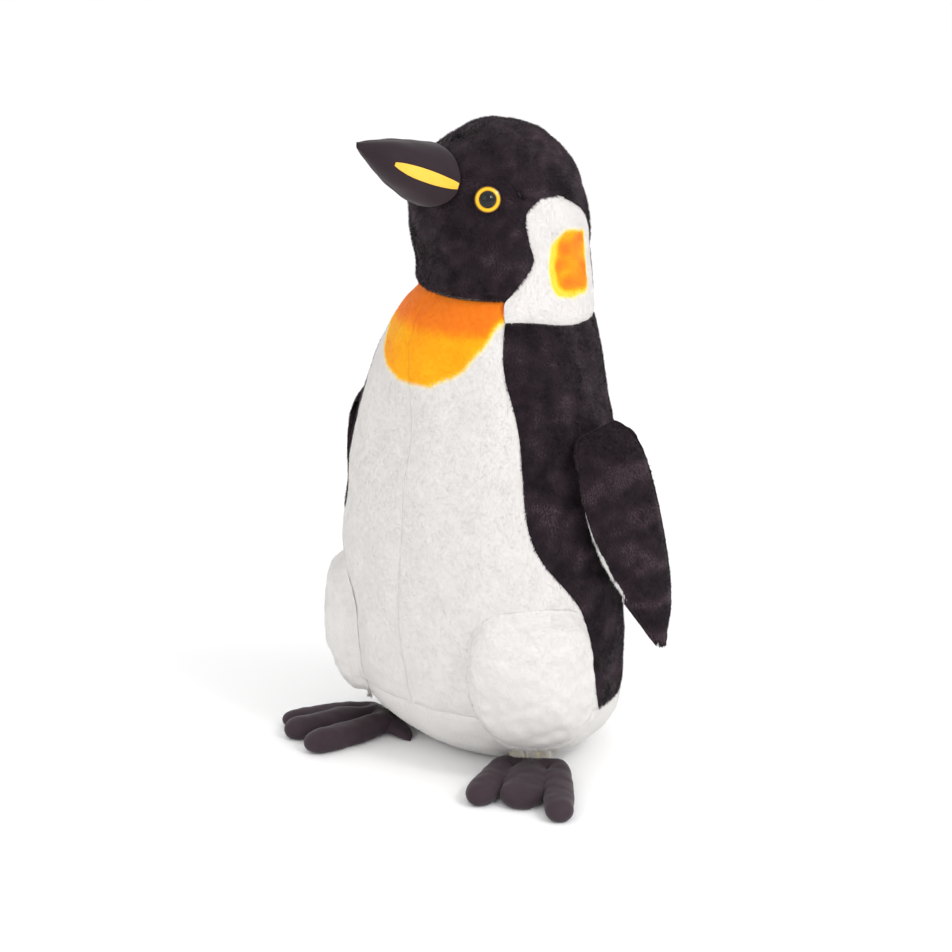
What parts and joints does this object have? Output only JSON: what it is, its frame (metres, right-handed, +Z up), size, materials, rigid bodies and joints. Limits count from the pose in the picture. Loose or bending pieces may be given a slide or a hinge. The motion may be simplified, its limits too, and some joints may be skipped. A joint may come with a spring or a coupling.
{
  "type": "plush penguin",
  "caption": "Sewn plush penguin sitting upright with its head turned, hinged flippers at its sides and padded three-toed feet.",
  "frame": {"origin": "centre of the flat face under the body that the toy sits on", "axes": "+Z up, -Y the way the belly faces, +X the penguin's own left side"},
  "size_m": [0.3689, 0.2741, 0.5997],
  "materials": {
    "white_plush": "matte",
    "black_plush": "matte",
    "charcoal_suede": "matte",
    "yellow_felt": "matte",
    "eye_yellow": "gloss",
    "eye_black": "gloss",
    "washer_plastic": "matte",
    "bag_cloth": "matte",
    "wadding": "matte"
  },
  "bodies": {
    "body": {"belly_left": "white_plush", "belly_right": "white_plush", "back_left": "black_plush", "back_right": "black_plush", "base_gusset": "white_plush", "hood_left": "black_plush", "hood_right": "black_plush", "crown": "black_plush", "nape": "black_plush", "cheek_left": "white_plush", "cheek_right": "white_plush", "body_stuffing": "wadding", "head_stuffing": "wadding", "pellet_bag": "bag_cloth", "beak_left": "charcoal_suede", "beak_right": "charcoal_suede", "beak_stuffing": "wadding", "beak_stripe_left": "yellow_felt", "beak_stripe_right": "yellow_felt", "eye_iris_left": "eye_yellow", "eye_iris_right": "eye_yellow", "eye_pupil_left": "eye_black", "eye_pupil_right": "eye_black", "eye_washer_left": "washer_plastic", "eye_washer_right": "washer_plastic", "thigh_cover_left": "white_plush", "thigh_cover_right": "white_plush", "thigh_padding_left": "wadding", "thigh_padding_right": "wadding"},
    "flipper_left": {"flipper_outer_left": "black_plush", "flipper_inner_left": "white_plush", "flipper_stuffing_left": "wadding"},
    "foot_left": {"foot_top_left": "charcoal_suede", "foot_sole_left": "charcoal_suede", "foot_stuffing_left": "wadding"},
    "flipper_right": {"flipper_outer_right": "black_plush", "flipper_inner_right": "white_plush", "flipper_stuffing_right": "wadding"},
    "foot_right": {"foot_top_right": "charcoal_suede", "foot_sole_right": "charcoal_suede", "foot_stuffing_right": "wadding"}
  },
  "joints": [
    {"name": "flipper_left_lift", "type": "hinge", "parent": "body", "child": "flipper_left", "pos_m": [0.1367, 0.0083, 0.338], "axis": [-0.2334, -0.9724, 0], "range_deg": [0, 75]},
    {"name": "foot_left_droop", "type": "hinge", "parent": "body", "child": "foot_left", "pos_m": [0.099, -0.0395, 0.01], "axis": [0.838, 0.5457, 0], "range_deg": [0, 60]},
    {"name": "flipper_right_lift", "type": "hinge", "parent": "body", "child": "flipper_right", "pos_m": [-0.1367, 0.0083, 0.338], "axis": [-0.2334, 0.9724, 0], "range_deg": [0, 75]},
    {"name": "foot_right_droop", "type": "hinge", "parent": "body", "child": "foot_right", "pos_m": [-0.099, -0.0395, 0.01], "axis": [0.838, -0.5457, 0], "range_deg": [0, 60]}
  ]
}
